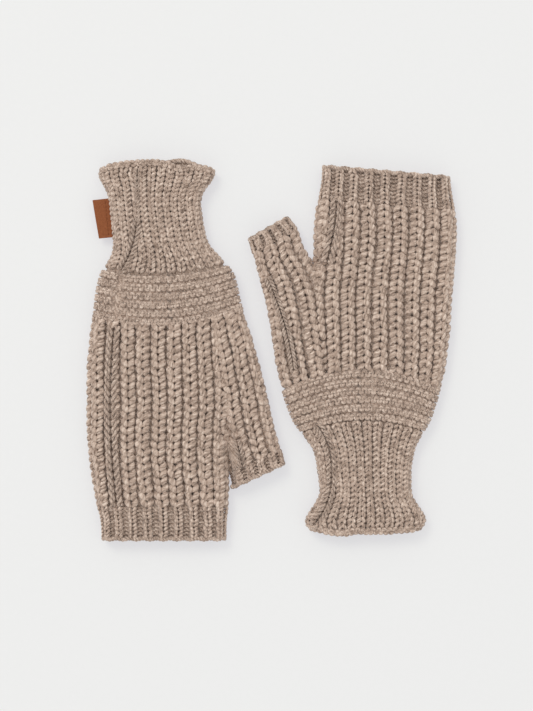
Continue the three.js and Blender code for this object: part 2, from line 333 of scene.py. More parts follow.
def body_tubes(glove):
    """The cuff and band as one tube, the hand and finger welt as another, and the thumb."""
    stations = np.arange(0.0, glove.length + 0.1, 1.0)
    walled = np.minimum(stations, glove.length - END_WALL)
    hand_share = ease((stations - glove.band_start) / HAND_BLEND)
    thumb_side = [glove.outer(glove.body, (0, v), (-1, 0)) for v in walled]
    far_side = [glove.outer(glove.body, (0, v), (1, 0)) for v in walled]
    thumb_side, far_side = filled(stations, thumb_side), filled(stations, far_side)
    far_side += BACK_SHOWS[glove.side] * hand_share
    flare = ease(1 - np.abs(stations - FLARE_AT) / FLARE_HALF)
    nip = WRIST_NIP[glove.side] * np.exp(-((stations - NIP_AT) / NIP_HALF) ** 2)
    past = stations - (glove.band_start - BULGE_BEFORE)
    bulge = BAND_BULGE * ease(past / BULGE_RISE) * ease(1 - past / BULGE_LENGTH)
    corner = CORNER_ROUND * ease(1 - stations / CORNER_LENGTH)
    thumb_side += RIM_FLARE[glove.side][0] * flare - nip + bulge - corner
    far_side += RIM_FLARE[glove.side][1] * flare + bulge - corner

    # Below the crotch a leaning line divides the palm's columns from the gusset's.
    above = stations > glove.crotch + CROTCH_ROUND
    glove.crotch_edge = -thumb_side[above][0]
    below_crotch = ease((glove.crotch + CROTCH_ROUND - stations) / BORDER_BLEND)
    border = glove.crotch_edge + BORDER_LEAN * (glove.crotch - stations)
    hand_edge = np.where(above, -thumb_side, glove.crotch_edge)
    hand_edge = hand_edge * (1 - below_crotch) + (border - ROUND) * below_crotch

    band = np.searchsorted(stations, glove.band_end + TUBE_OVERLAP)
    palm = np.searchsorted(stations, glove.band_start)
    body = Tube(glove, -thumb_side[:band], far_side[:band], stations[:band])
    hand = Tube(glove, hand_edge[palm:], far_side[palm:], stations[palm:])
    hand.column_width = COLUMN_WIDTH[glove.side]
    return body, hand, thumb_tube(glove, stations, -thumb_side)


def thumb_tube(glove, stations, body_edge):
    """Rings square to the thumb's outer edge, from inside the garter band to the thumb's end."""
    ahead = glove.thumb_ahead
    across = np.array([ahead[1], -ahead[0]])
    corners = [glove.local(v.co) for v in glove.node("thumb_welt").data.vertices]
    tip = max(ahead @ (corner - glove.joint) for corner in corners)
    steps = np.arange(0.5, tip - THUMB_TRIM[glove.side], 1.0)
    spots = [glove.joint + ahead * s for s in steps]
    outer = filled(steps, [glove.outer(glove.thumb, p, -across) for p in spots])
    inner = filled(steps, [glove.outer(glove.thumb, p, across) for p in spots])
    tip_outer = np.array([p - across * d for p, d in zip(spots, outer)])
    extra = np.interp(steps, (0, THUMB_FULLEST * tip, tip), THUMB_EXTRA[glove.side])
    tip_inner = np.array([p + across * d for p, d in zip(spots, inner + extra)])

    # The gusset's rings run from the glove's outer edge to just past the palm's columns.
    low = np.searchsorted(stations, glove.band_end - GUSSET_FROM)
    high = np.searchsorted(stations, tip_outer[0][1] - OUTER_GAP)
    outer_line = np.vstack([np.stack([body_edge, stations], 1)[low:high], tip_outer])
    outer_line = smooth(even_steps(outer_line), 8)
    run = np.gradient(outer_line, axis=0)
    run /= np.linalg.norm(run, axis=1)[:, None]
    square = np.stack([run[:, 1], -run[:, 0]], 1)
    gap = glove.border(outer_line[:, 1]) + ROUND + 1 - outer_line[:, 0]
    square *= (gap / (square[:, 0] + BORDER_LEAN * square[:, 1]))[:, None]
    share = ease((outer_line[:, 1] - glove.crotch + THUMB_FROM) / THUMB_BLEND)[:, None]
    reach = (outer_line - tip_outer[0]) @ ahead
    own = tip_inner[0] + reach[:, None] * ahead
    known = np.stack([np.interp(reach, steps - steps[0], c) for c in tip_inner.T], 1)
    own = np.where(reach[:, None] > 0, known, own)
    inner_line = smooth((outer_line + square) * (1 - share) + own * share, 8)
    tube = Tube(glove, outer_line, inner_line)
    tube.inner_end = inner_line[-1]
    return tube


def even_steps(line):
    """The line with points a millimetre apart."""
    gone = np.concatenate([[0], np.cumsum(np.linalg.norm(np.diff(line, axis=0), axis=1))])
    spots = np.linspace(0, gone[-1], int(gone[-1]))
    return np.stack([np.interp(spots, gone, column) for column in line.T], 1)


# ---------------------------------------------------------------- yarn

class Yarn:
    """Gathers swept yarn and cloth surfaces, then makes one mesh of them."""

    def __init__(self, glove):
        self.glove = glove
        self.points, self.quads, self.uvs = [], [], []
        self.count = 0

    def add(self, points, quads, uvs):
        """Adds a surface, whose quads count from its own first point."""
        self.points.append(points.reshape(-1, 3))
        self.quads.append(quads + self.count)
        self.uvs.append(uvs)
        self.count += points.size // 3

    def sweep(self, path, normal, radius, keep, closed, sides=8, flat=0.9):
        """Sweeps a round section along rows of points: path is (rows, points, 3)."""
        rows, length, _ = path.shape
        if closed:
            tangent = np.roll(path, -1, 1) - np.roll(path, 1, 1)
        else:
            tangent = np.gradient(path, axis=1)
        tangent /= np.linalg.norm(tangent, axis=2, keepdims=True)
        side = np.cross(tangent, normal)
        side /= np.linalg.norm(side, axis=2, keepdims=True)
        up = np.cross(side, tangent)
        angle = np.arange(sides) * TAU / sides
        ring = (
            path[:, :, None, :]
            + (radius[:, :, None] * np.cos(angle))[..., None] * side[:, :, None, :]
            + (flat * radius[:, :, None] * np.sin(angle))[..., None] * up[:, :, None, :]
        )
        index = np.arange(rows * length * sides).reshape(rows, length, sides)
        ahead, keep_ahead = np.roll(index, -1, 1), np.roll(keep, -1, 1)
        joined = keep & keep_ahead
        if not closed:
            joined[:, -1] = False
        around = np.roll(index, -1, 2)
        quads = np.stack([index, around, np.roll(ahead, -1, 2), ahead], -1)[joined]
        step = np.linalg.norm(np.roll(path, -1, 1) - path, axis=2)
        gone = np.concatenate([np.zeros((rows, 1)), np.cumsum(step, 1)], 1)
        u0 = np.broadcast_to(gone[:, :-1, None], index.shape)[joined]
        u1 = np.broadcast_to(gone[:, 1:, None], index.shape)[joined]
        v0 = np.broadcast_to(np.arange(sides) / sides, index.shape)[joined]
        v1 = v0 + 1 / sides
        uvs = np.stack([
            np.stack([u0, v0], -1), np.stack([u0, v1], -1),
            np.stack([u1, v1], -1), np.stack([u1, v0], -1),
        ], 2)
        quads, uvs = quads.reshape(-1, 4), uvs.reshape(-1, 4, 2)
        caps = self.caps(index, joined, sides)
        quads = np.vstack([quads, caps])
        uvs = np.vstack([uvs, np.zeros((len(caps), 4, 2))])
        used, quads = np.unique(quads, return_inverse=True)
        self.add(ring.reshape(-1, 3)[used], quads.reshape(-1, 4), uvs)

    @staticmethod
    def caps(index, joined, sides):
        """Flat ends where a run of yarn starts or stops."""
        before = np.roll(joined, 1, 1)
        out = []
        for rings, flip in ((index[joined & ~before], True), (index[before & ~joined], False)):
            for i in range(sides // 2 - 1):
                corners = (-i % sides, i + 1, i + 2, sides - 1 - i)
                fan = rings[:, corners]
                out.append(fan[:, ::-1] if flip else fan)
        return np.vstack(out) if out else np.zeros((0, 4), int)

    def backing(self, tube, start, stop, zone, columns=80, pitch=4.0, sunk=None):
        """The closed inner layer of fabric behind the stitches, from start to stop."""
        rows = max(2, int((stop - start) / pitch) + 1)
        along = np.linspace(start, stop, rows)
        turn = np.arange(columns) / columns
        skins = []
        for lift, order in ((INNER[zone], along), (INNER[zone] - INNER_THICK, along[::-1])):
            points, normal = tube.place(turn[None, :], order[:, None], np.float64(lift))
            if sunk is not None:
                points = pushed_in(points, normal, sunk(points))
            skins.append(points)
        grid = np.concatenate(skins)
        total = len(grid)
        index = np.arange(total * columns).reshape(total, columns)
        below, beside = np.roll(index, -1, 0), np.roll(index, -1, 1)
        quads = np.stack([index, beside, np.roll(below, -1, 1), below], -1).reshape(-1, 4)
        # Any places along and round a yarn do here: they only colour it.
        s, t = np.meshgrid(np.arange(columns) * 3.0, np.arange(total) * 0.31)
        corner = np.stack([s, t], -1).reshape(-1, 2)
        uvs = corner[np.minimum(quads, len(corner) - 1)]
        self.add(grid, quads[:, ::-1], uvs[:, ::-1])

    def mesh(self, name, material):
        """One object of everything that was added."""
        points = np.concatenate(self.points)
        points = self.glove.world(points) if self.glove else points * MM
        quads, uvs = np.concatenate(self.quads), np.concatenate(self.uvs)
        data = bpy.data.meshes.new(name)
        data.vertices.add(len(points))
        data.vertices.foreach_set("co", points.ravel())
        data.loops.add(quads.size)
        data.loops.foreach_set("vertex_index", quads.ravel())
        data.polygons.add(len(quads))
        data.polygons.foreach_set("loop_start", np.arange(0, quads.size, 4))
        layer = data.uv_layers.new(name="yarn")
        data.update(calc_edges=True)
        layer.data.foreach_set("uv", uvs.astype(np.float32).ravel())
        data.polygons.foreach_set("use_smooth", np.ones(len(quads), bool))
        data.materials.append(material)
        piece = bpy.data.objects.new(name, data)
        bpy.context.scene.collection.objects.link(piece)
        return piece


def uneven(seed, rows, columns, size):
    """Small differences between stitches, the same on every run."""
    return np.random.default_rng(seed).normal(0, size, (rows, columns))


def along_row(values, place):
    """Values given per stitch, read at fractional places round the row."""
    count = values.shape[1]
    low = np.floor(place).astype(int) % count
    share = ease(place - np.floor(place))
    return values[:, low] * (1 - share) + values[:, (low + 1) % count] * share


def knit_rows(tube, rows_at, stitch, seed):
    """Paths, normals and radii for whole rows of one stitch."""
    columns = stitch["columns"]
    x, y, depth, radius = whole_stitch(stitch["half"], stitch["points"])
    number = np.repeat(np.arange(columns), len(x))
    x, y, depth, radius = np.tile([x, y, depth, radius], columns)
    rows = len(rows_at)
    wobble = {
        key: along_row(uneven(seed + i, rows, columns, size), number + x)
        for i, (key, size) in enumerate(stitch["uneven"].items())
    }
    turn = ((number + x + stitch["shift"])[None, :] + wobble["across"]) / columns
    along = np.asarray(rows_at)[:, None] - y[None, :] + wobble["along"]
    turn = tube.spread(turn, along, columns)
    radius = radius[None, :] * (1 + wobble["thick"])
    path, normal = tube.place(turn, along, wobble["lift"] - depth[None, :] - radius)
    return path, normal, radius


def whole_stitch(half, points):
    """A smooth run through half a stitch's points and their mirror images."""
    half = np.array(half, float)
    other = half[-2:0:-1] * (-1, 1, 1, 1) + (1, 0, 0, 0)
    ring = np.vstack([half, other])
    ring = np.vstack([ring[-1] - (1, 0, 0, 0), ring, ring[:2] + (1, 0, 0, 0)])
    spots = np.arange(points) / points * (len(ring) - 3)
    low = np.floor(spots).astype(int)
    t = (spots - low)[:, None]
    a, b, c, d = (ring[low + i] for i in range(4))
    run = b + 0.5 * t * (c - a + t * (2 * a - 5 * b + 4 * c - d + t * (3 * (b - c) + d - a)))
    return run.T


def knit_half(pitch, leg, narrow=1.0):
    """Half a knit stitch: across in column widths, then towards the cuff, depth and radius in mm."""
    return [
        (0.00, 0.66 * pitch, 1.15 * leg, 0.60 * leg),
        (0.21 * narrow, 0.58 * pitch, 0.95 * leg, 0.72 * leg),
        (0.272 * narrow, 0.30 * pitch, 0.25 * leg, 0.92 * leg),
        (0.20 * narrow, 0.00, 0.00, leg),
        (0.105 * narrow, -0.30 * pitch, 0.12 * leg, 0.86 * leg),
        (0.20 * narrow, -0.58 * pitch, 1.15 * leg, 0.60 * leg),
        (0.50, -0.62 * pitch, 1.80 * leg, 0.50 * leg),
    ]


# How much one stitch differs from the next: across in column widths, along and lift in
# millimetres, thick as a share of the yarn
UNEVEN = {"across": 0.03, "along": 0.16, "lift": 0.16, "thick": 0.05}
FINE = {"across": 0.025, "along": 0.08, "lift": 0.09, "thick": 0.05}
ROW_PITCH = {"left": 4.6, "right": 4.35}      # of the hand's rows
COLUMN_WIDTH = {"left": 9.65, "right": 10.1}  # of the hand's columns on its flat faces
PALM_SHIFT = {"left": 0.0, "right": 0.93}     # of the hand's columns, in column widths
THUMB_COLUMNS, THUMB_WELT_COLUMNS = 8, 11
HAND_YARN, CUFF_YARN = 2.0, 1.28              # radius of the yarn where a stitch is fullest
FISHERMAN = {"columns": 20, "points": 18, "shift": 0.5, "uneven": UNEVEN}
CUFF_RIB = {"columns": 27, "points": 16, "pitch": 3.1, "shift": 0.5, "uneven": FINE,
            "half": knit_half(3.1, CUFF_YARN, 1.1)}
GARTER = {"columns": 54, "points": 12, "pitch": 5.3, "shift": 0.0, "uneven": FINE, "half": [
    (0.00, 1.28, 0.00, 1.12), (0.23, 1.00, 0.10, 1.10), (0.25, 0.00, 0.60, 0.95),
    (0.27, -1.00, 0.10, 1.10), (0.50, -1.28, 0.00, 1.12),
]}
ROLL = {**GARTER, "columns": 46, "uneven": UNEVEN}
WELT_RIB = {"columns": 20, "points": 18, "pitch": 2.3, "shift": 0.5, "uneven": FINE, "half": [
    (0.00, 1.50, 1.60, 0.65), (0.14, 1.30, 1.00, 0.85), (0.21, 0.70, 0.30, 1.05),
    (0.16, 0.00, 0.00, 1.20), (0.10, -0.80, 0.10, 1.05), (0.15, -1.40, 1.30, 0.75),
    (0.38, -1.25, 2.70, 0.80), (0.50, -0.80, 2.30, 0.90),
]}

# The inner layers of neighbouring zones lie at different depths, so they never coincide
INNER = {"cuff": -2.9, "band": -1.9, "join": -5.2, "hand": -4.3, "welt": -3.7, "thumb": -4.0}
INNER_THICK = 0.7

# Twisted strands. Along an edge: turns, then thick, depth and wave in millimetres
CUFF_ROPE = (26, 0.95, 2.6)
FINGER_ROPE = (40, 0.8, 0.7, 0.35)
THUMB_ROPE = (22, 0.8, 0.7, 0.35)
# Along a seam: thick, pitch, depth. The hand's side seam takes two rows for each turn
CUFF_SEAM_ROPE = (0.78, 6.2, 0.2)
SIDE_SEAM_THICK, SIDE_SEAM_DEPTH = 0.95, 0.3
THUMB_SEAM_ROPE = (0.62, 5.0, 0.3)


def row_places(start, stop, pitch):
    """Evenly spaced rows that fill the stretch from start to stop."""
    count = max(1, round((stop - start) / pitch))
    return start + (np.arange(count) + 0.5) * (stop - start) / count


def knit_zone(yarn, tube, rows_at, stitch, seed, kept=None, sunk=None):
    """Adds rows of one stitch round a tube, where kept says so, pushed in as sunk says."""
    path, normal, radius = knit_rows(tube, rows_at, stitch, seed)
    keep = np.ones(radius.shape, bool) if kept is None else kept(path)
    if sunk is not None:
        path = pushed_in(path, normal, sunk(path))
    yarn.sweep(path, normal, radius, keep, closed=True)


def rim_rope(yarn, tube, along, turns, thick, depth, wave=0.0):
    """Two strands twisted round each other along the rim of a tube."""
    spots = np.linspace(0, 1, turns * 10, endpoint=False)
    scallop = wave * np.cos(TAU * turns / 2 * spots)
    for strand in (0, math.pi):
        phase = TAU * turns * spots + strand
        path, normal = tube.place(
            spots[None, :], (along + scallop + thick * 0.8 * np.cos(phase))[None, :],
            (-depth - thick + thick * 0.8 * np.sin(phase))[None, :],
        )
        radius = np.full((1, len(spots)), thick)
        yarn.sweep(path, normal, radius, np.ones(radius.shape, bool), closed=True)


def seam_rope(yarn, tube, line, thick, pitch, depth):
    """Two ropes side by side along a line in plan, twisted opposite ways."""
    line = np.column_stack(np.broadcast_arrays(line[:, 0], line[:, 1], thick, depth))
    middle = even_steps(smooth(even_steps(line), 6))
    gone = np.arange(0, len(middle) - 1, pitch / 12)
    middle = np.stack([np.interp(gone, np.arange(len(middle)), c) for c in middle.T], 1)
    middle, thick, depth = middle[:, :2], middle[:, 2], middle[:, 3]
    ahead = np.gradient(middle, axis=0)
    ahead /= np.linalg.norm(ahead, axis=1)[:, None]
    aside = np.stack([-ahead[:, 1], ahead[:, 0]], 1)
    for rope in (-1, 1):
        for strand in (0, math.pi):
            phase = TAU * gone / pitch + strand
            across = rope * (2.3 * thick + 1.1 * thick * np.cos(phase))
            turn, along = tube.locate(middle + aside * across[:, None])
            lift = -depth - thick + thick * np.sin(phase)
            path, normal = tube.place(turn[None, :], along[None, :], lift[None, :])
            keep = np.ones((1, len(gone)), bool)
            yarn.sweep(path, normal, thick[None, :], keep, closed=False)


def seam_line(glove, name, before=0.0, after=0.0):
    """The middle line of a CAD seam, made longer at its ends."""
    spots = np.array([glove.local(v.co) for v in glove.node(name).data.vertices])
    low, high = spots[:, 1].min(), spots[:, 1].max()
    curve = np.polyfit(spots[:, 1], spots[:, 0], 2)
    slope = np.polyder(curve)
    run = np.linspace(low, high, 8)
    line = np.stack([np.polyval(curve, run), run], 1)
    first = line[0] - before * np.array([np.polyval(slope, low), 1])
    last = line[-1] + after * np.array([np.polyval(slope, high), 1])
    return np.vstack([first, line, last])


def cuff_seam_line(glove):
    """The cuff's seam: straight along the wrist, bending to the side at its ends."""
    shift, wrist, span, before, after = CUFF_SEAM[glove.side]
    middle = np.mean([glove.local(v.co)[0] for v in glove.node("cuff_seam").data.vertices])
    v = np.arange(6.0, glove.band_start - 1, 2.0)
    bend = np.where(v > wrist, after, before) * np.abs((v - wrist) / span) ** 2.5
    return np.stack([middle + shift + np.sign(middle) * bend, v], 1)


def pushed_in(points, normal, depth):
    """The points moved in by depth, but no nearer the floor than SUNK_LOWEST."""
    room = np.maximum(points[..., 2] - SUNK_LOWEST, 0) / np.maximum(normal[..., 2], 0.2)
    return points - normal * np.minimum(depth, room)[..., None]


def groove(path, line, depth, reach):
    """Depth on a line in plan, falling to 0 at reach from it, on the top face only."""
    u = np.interp(path[..., 1], line[:, 1], line[:, 0], left=1e6, right=1e6)
    return depth * ease(1 - np.abs(path[..., 0] - u) / reach) * (path[..., 2] > ROUND)


# ---------------------------------------------------------------- materials

TWIST = 8.0          # millimetres of yarn for one full turn of its plies
PLIES = 3


def node_material(name, roughness, specular):
    material = bpy.data.materials.new(name)
    material.use_nodes = True
    nodes, links = material.node_tree.nodes, material.node_tree.links
    shader = nodes["Principled BSDF"]
    shader.inputs["Roughness"].default_value = roughness
    shader.inputs["Specular IOR Level"].default_value = specular
    return material, nodes, links, shader


def math_node(nodes, links, operation, a, b):
    node = nodes.new("ShaderNodeMath")
    node.operation = operation
    for socket, value in zip(node.inputs, (a, b)):
        if isinstance(value, (int, float)):
            socket.default_value = value
        else:
            links.new(value, socket)
    return node.outputs[0]


def noise(nodes, links, place, scale, detail, roughness):
    node = nodes.new("ShaderNodeTexNoise")
    node.inputs["Scale"].default_value = scale
    node.inputs["Detail"].default_value = detail
    node.inputs["Roughness"].default_value = roughness
    links.new(place, node.inputs["Vector"])
    return node.outputs["Fac"]


def colour(nodes, links, shader, shade, stops):
    """The shader's colour from a shade, through stops of (position, colour)."""
    ramp = nodes.new("ShaderNodeValToRGB")
    elements = ramp.color_ramp.elements
    for element, (position, tint) in zip((elements[0], elements[1]), (stops[0], stops[-1])):
        element.position = position
        element.color = (*tint, 1)
    for position, tint in stops[1:-1]:
        elements.new(position).color = (*tint, 1)
    links.new(shade, ramp.inputs["Fac"])
    links.new(ramp.outputs["Color"], shader.inputs["Base Color"])


def relief(nodes, links, shader, height, strength, distance):
    """Small bumps on the shader's surface, distance metres high."""
    bump = nodes.new("ShaderNodeBump")
    bump.inputs["Strength"].default_value = strength
    bump.inputs["Distance"].default_value = distance
    links.new(height, bump.inputs["Height"])
    links.new(bump.outputs["Normal"], shader.inputs["Normal"])


def wool(name, dark, mid, light):
    """Spun wool: twisted plies and fibres along the yarn, in several shades."""
    material, nodes, links, shader = node_material(name, roughness=0.95, specular=0.15)
    shader.inputs["Sheen Weight"].default_value = 0.25
    shader.inputs["Sheen Roughness"].default_value = 0.6

    place = nodes.new("ShaderNodeUVMap")
    place.uv_map = "yarn"
    split = nodes.new("ShaderNodeSeparateXYZ")
    links.new(place.outputs["UV"], split.inputs[0])
    along, round_yarn = split.outputs[0], split.outputs[1]
    twist = math_node(nodes, links, "MULTIPLY", along, 1 / TWIST)
    winding = math_node(nodes, links, "ADD", round_yarn, twist)
    plies = math_node(nodes, links, "MULTIPLY", winding, TAU * PLIES)
    ply = math_node(nodes, links, "COSINE", plies, 0.0)

    fibre_place = nodes.new("ShaderNodeCombineXYZ")
    links.new(math_node(nodes, links, "MULTIPLY", along, 0.45), fibre_place.inputs[0])
    links.new(math_node(nodes, links, "MULTIPLY", winding, 11.0), fibre_place.inputs[1])
    fibres = noise(nodes, links, fibre_place.outputs[0], 1.0, 4.0, 0.7)
    object_place = nodes.new("ShaderNodeTexCoord").outputs["Object"]
    patches = noise(nodes, links, object_place, 260.0, 3.0, 0.6)

    # Mostly the fibres' tone, mottled, and painted light and shade on the plies: a little lighter on
    # top of each ply, darker in the grooves between them
    shade = math_node(nodes, links, "MULTIPLY", fibres, 0.62)
    mottling = math_node(nodes, links, "MULTIPLY", patches, 0.38)
    painted_ply_shade = math_node(nodes, links, "MULTIPLY", ply, 0.035)
    shade = math_node(nodes, links, "ADD", shade, mottling)
    shade = math_node(nodes, links, "ADD", shade, painted_ply_shade)
    colour(nodes, links, shader, shade, [(0.36, dark), (0.5, mid), (0.66, light)])

    height = math_node(nodes, links, "MULTIPLY", ply, 0.35)
    height = math_node(nodes, links, "ADD", height, fibres)
    relief(nodes, links, shader, height, 0.8, 0.0005)
    return material


def grained(name, dark, light, roughness, scale, depth):
    """A plain material with fine grain in its colour and its surface."""
    material, nodes, links, shader = node_material(name, roughness, specular=0.2)
    place = nodes.new("ShaderNodeTexCoord").outputs["Object"]
    grain = noise(nodes, links, place, scale, 5.0, 0.5)
    colour(nodes, links, shader, grain, [(0.35, dark), (0.65, light)])
    relief(nodes, links, shader, grain, 0.4, depth)
    return material


# ---------------------------------------------------------------- gloves

class Knitter:
    """Makes the pieces of one glove."""

    def __init__(self, side, wool_material, seam_material):
        self.side = side
        self.glove = Glove(side)
        self.body, self.hand, self.thumb = body_tubes(self.glove)
        self.materials = {"wool": wool_material, "seam_yarn": seam_material}
        self.seed = SEED[side]
        self.stitch = {**FISHERMAN, "half": knit_half(ROW_PITCH[side], HAND_YARN, 1.1)}
        self.thumb_welt_start = self.thumb.end - THUMB_WELT

        self.cuff_line = cuff_seam_line(self.glove)
        side_line = seam_line(self.glove, "side_seam", *SIDE_SEAM_LONGER)
        side_line[:, 0] += np.interp(side_line[:, 1], side_line[[0, -1], 1], SIDE_SEAM[side])
        self.side_line = side_line
        self.thumb_line = seam_line(self.glove, "thumb_seam", *THUMB_SEAM_LONGER[side])

    def place_piece(self, yarn, name, slot="wool"):
        """One finished piece: a piece of the cuff or the thumb keeps its place baked into its mesh,
        any other joins the glove's main body.
        """
        side, glove = self.side, self.glove
        main, cuff_body, thumb_body = f"{side}_glove", f"{side}_cuff", f"{side}_thumb_sleeve"
        piece = yarn.mesh(f"{side}_{name}_yarn", self.materials[slot])
        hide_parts(f"{side}_{name}")
        if name.startswith("cuff"):
            fold_at = glove.band_start - BAND_BOW[side] * 0.5
            fold_start = glove.world([0, fold_at, 0])
            fold_end = glove.world([0, fold_at - FOLD_LENGTH, 0])
            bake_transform(piece)
        elif name.startswith("thumb"):
            swing_start = glove.world([*(glove.joint - glove.thumb_ahead * SWING_HALF), ROUND])
            swing_end = glove.world([*(glove.joint + glove.thumb_ahead * SWING_HALF), ROUND])
            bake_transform(piece)
        else:
            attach(piece, main)

    # How far the stitches of each zone are pushed in

    def crotch_pit(self, path):
        """The hollow where the thumb leaves the hand."""
        depth, reach = CROTCH_PIT
        across = path[..., 0] - self.glove.crotch_edge - PIT_OFFSET[0]
        away = np.hypot(across, path[..., 1] - self.glove.crotch - PIT_OFFSET[1])
        return depth * np.exp(-(away / reach) ** 2) * (path[..., 2] > ROUND)

    def seam_fineness(self, v):
        """How much thinner the cuff's seam is towards the rim."""
        return CUFF_SEAM_FINE[self.side] * ease((FINE_FROM - v) / FINE_LENGTH)

    def cuff_sink(self, path):
        """Deeper beneath the seam and where the garter band begins."""
        along = path[..., 1] + self.body.droop(path[..., 0], path[..., 1], path[..., 2] > ROUND)
        join_depth, join_reach = JOIN_GROOVE
        join = join_depth * np.exp(-((along - self.glove.band_start - 0.3) / join_reach) ** 2)
        depth, reach = CUFF_GROOVE
        depth = depth - GROOVE_FADE * self.seam_fineness(path[..., 1])
        return groove(path, self.cuff_line, depth, reach) + join

    def band_sink(self, path):
        line = np.array([self.cuff_line[-1], self.side_line[0]])
        return groove(path, line, *BAND_GROOVE[self.side])

    def hand_sink(self, path):
        return groove(path, self.side_line, *SIDE_GROOVE) + self.crotch_pit(path)

    def welt_sink(self, path):
        line = np.array([self.side_line[-1], self.side_line[-1] + WELT_GROOVE_RUN])
        return groove(path, line, *WELT_GROOVE)

    def thumb_sink(self, path):
        inner = np.array([(self.glove.crotch_edge, self.glove.crotch), self.thumb.inner_end])
        fold = groove(path, inner, *THUMB_FOLD[self.side])
        return groove(path, self.thumb_line, *THUMB_GROOVE) + fold + self.crotch_pit(path)

    # Which stitches of two overlapping tubes are kept

    def palm_side(self, path):
        u, v = path[..., 0], path[..., 1]
        return (v > self.glove.crotch) | (u > self.glove.border(v) - 1)

    def gusset_side(self, path):
        u, v = path[..., 0], path[..., 1]
        band_top = self.glove.band_end - 0.5 - BAND_BOW[self.side] * (u / BOW_HALF) ** 2
        return (v > band_top) & ((v > self.glove.crotch) | (u < self.glove.border(v) + 0.5))

    # The pieces, from the cuff to the fingers. An inner layer stops just inside an open end and
    # runs a little way under the next zone's, so that nothing shows through between two zones.

    def knit_cuff(self):
        body, band_start = self.body, self.glove.band_start
        edge, rib, seam = Yarn(self.glove), Yarn(self.glove), Yarn(self.glove)
        edge.backing(body, 0.8, CUFF_EDGE, "cuff")
        rib.backing(body, CUFF_EDGE, band_start + 4, "cuff")
        rows = row_places(5.0, band_start + 0.2, CUFF_RIB["pitch"])
        for part, chosen in ((edge, rows[rows < CUFF_EDGE]), (rib, rows[rows >= CUFF_EDGE])):
            knit_zone(part, body, chosen, CUFF_RIB, self.seed + len(chosen), sunk=self.cuff_sink)
        knit_zone(edge, body, np.array([2.6]), ROLL, self.seed + 10)
        rim_rope(edge, body, 2.4, *CUFF_ROPE)
        self.place_piece(edge, "cuff_edge")
        self.place_piece(rib, "cuff_rib")
        fine = self.seam_fineness(self.cuff_line[:, 1])
        thick, pitch, depth = CUFF_SEAM_ROPE
        seam_rope(seam, body, self.cuff_line, thick - fine, pitch, depth + fine)
        self.place_piece(seam, "cuff_seam", "seam_yarn")

    def knit_band(self):
        band_start, band_end = self.glove.band_start, self.glove.band_end
        band = Yarn(self.glove)
        band.backing(self.body, band_start + 2, band_end + 0.5, "band")
        band.backing(self.body, band_end - 2, band_end + 9, "join")
        rows = row_places(band_start, band_end, GARTER["pitch"]) + BAND_SHIFT[self.side]
        knit_zone(band, self.body, rows, GARTER, self.seed + 20, sunk=self.band_sink)
        self.place_piece(band, "garter_band")

    def knit_hand(self):
        glove, hand, pitch = self.glove, self.hand, ROW_PITCH[self.side]
        palm, seam = Yarn(glove), Yarn(glove)
        palm.backing(hand, glove.band_end - 5, glove.welt_start, "hand", sunk=self.crotch_pit)
        rows = row_places(glove.band_end - 0.5, glove.welt_start, pitch)
        stitch = {**self.stitch, "shift": PALM_SHIFT[self.side]}
        knit_zone(palm, hand, rows, stitch, self.seed + 40, self.palm_side, self.hand_sink)
        self.place_piece(palm, "hand")
        seam_rope(seam, hand, self.side_line, SIDE_SEAM_THICK, 2 * pitch, SIDE_SEAM_DEPTH)
        self.place_piece(seam, "side_seam", "seam_yarn")

    def knit_finger_welt(self):
        start, end = self.glove.welt_start, self.glove.length
        welt = Yarn(self.glove)
        welt.backing(self.hand, start, end - 0.8, "welt")
        rows = row_places(start, end - 1.5, WELT_RIB["pitch"])
        stitch = {**WELT_RIB, "shift": PALM_SHIFT[self.side]}
        knit_zone(welt, self.hand, rows, stitch, self.seed + 60, sunk=self.welt_sink)
        rim_rope(welt, self.hand, end - 1.0, *FINGER_ROPE)
        self.place_piece(welt, "finger_welt")

    def knit_thumb(self):
        thumb, end = self.thumb, self.thumb_welt_start
        digit, seam = Yarn(self.glove), Yarn(self.glove)
        digit.backing(thumb, 4, end, "thumb", columns=36, sunk=self.crotch_pit)
        rows = row_places(2, end, ROW_PITCH[self.side])
        stitch = {**self.stitch, "columns": THUMB_COLUMNS}
        knit_zone(digit, thumb, rows, stitch, self.seed + 80, self.gusset_side, self.thumb_sink)
        self.place_piece(digit, "thumb")
        seam_rope(seam, thumb, self.thumb_line, *THUMB_SEAM_ROPE)
        self.place_piece(seam, "thumb_seam", "seam_yarn")

    def knit_thumb_welt(self):
        thumb, start, end = self.thumb, self.thumb_welt_start, self.thumb.end
        tip = Yarn(self.glove)
        tip.backing(thumb, start, end + 0.2, "welt", columns=36)
        rows = row_places(start, end + 0.4, WELT_RIB["pitch"])
        stitch = {**WELT_RIB, "columns": THUMB_WELT_COLUMNS}
        knit_zone(tip, thumb, rows, stitch, self.seed + 90, sunk=self.thumb_sink)
        rim_rope(tip, thumb, end + 0.6, *THUMB_ROPE)
        self.place_piece(tip, "thumb_welt")


def make_glove(side, wool_material, seam_material):
    knitter = Knitter(side, wool_material, seam_material)
    knitter.knit_cuff()
    knitter.knit_band()
    knitter.knit_hand()
    knitter.knit_finger_welt()
    knitter.knit_thumb()
    knitter.knit_thumb_welt()


# ---------------------------------------------------------------- label

LEAF = 0.45                                   # half the thickness of the folded tag
LEAF_SHARE = LEAF / 11                        # the same as a share of its width
TAG_RINGS = 25
SLIT = 0.08                                   # half the gap between its two leaves
STITCHES, STITCH_POINTS = 9, 7
STITCHED = (0.07, 0.86)                       # the first and last stitch, along the tag
STITCHED_AT = 0.3                             # across the tag, from the cuff


